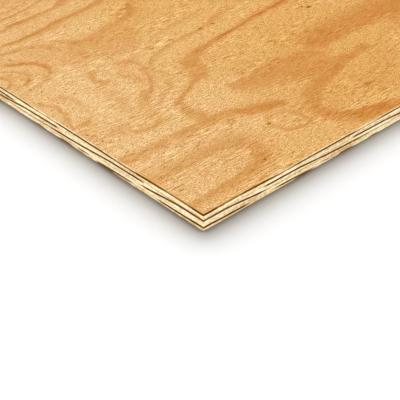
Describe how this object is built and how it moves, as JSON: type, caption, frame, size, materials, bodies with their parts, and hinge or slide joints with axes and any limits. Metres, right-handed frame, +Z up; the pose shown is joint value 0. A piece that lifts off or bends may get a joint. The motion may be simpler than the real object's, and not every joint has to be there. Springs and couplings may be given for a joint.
{
  "type": "plywood sheet",
  "caption": "Flat rectangular sheet of sanded plywood with cross-laid veneers showing at square sawn edges, raw stock to cut into panels, decking or shelving.",
  "frame": {"origin": "middle of the underside, the outer face of the back veneer, where the sheet lies on the floor", "axes": "+X along the sheet's length and the grain of its face, +Y across its width, +Z up out of the face veneer"},
  "size_m": [2.4384, 1.2192, 0.0183],
  "materials": {
    "face_veneer": "sanded bare softwood veneer, flat-sawn figure, matt",
    "crossband": "sawn bare softwood veneer edge, pale cream, matt",
    "core_veneer": "sawn bare softwood veneer edge, cream, matt",
    "back_veneer": "sanded bare softwood veneer, lower grade with knots, matt"
  },
  "bodies": {
    "root": {"face_veneer": "face_veneer", "upper_crossband": "crossband", "core_veneer": "core_veneer", "lower_crossband": "crossband", "back_veneer": "back_veneer"}
  },
  "joints": []
}
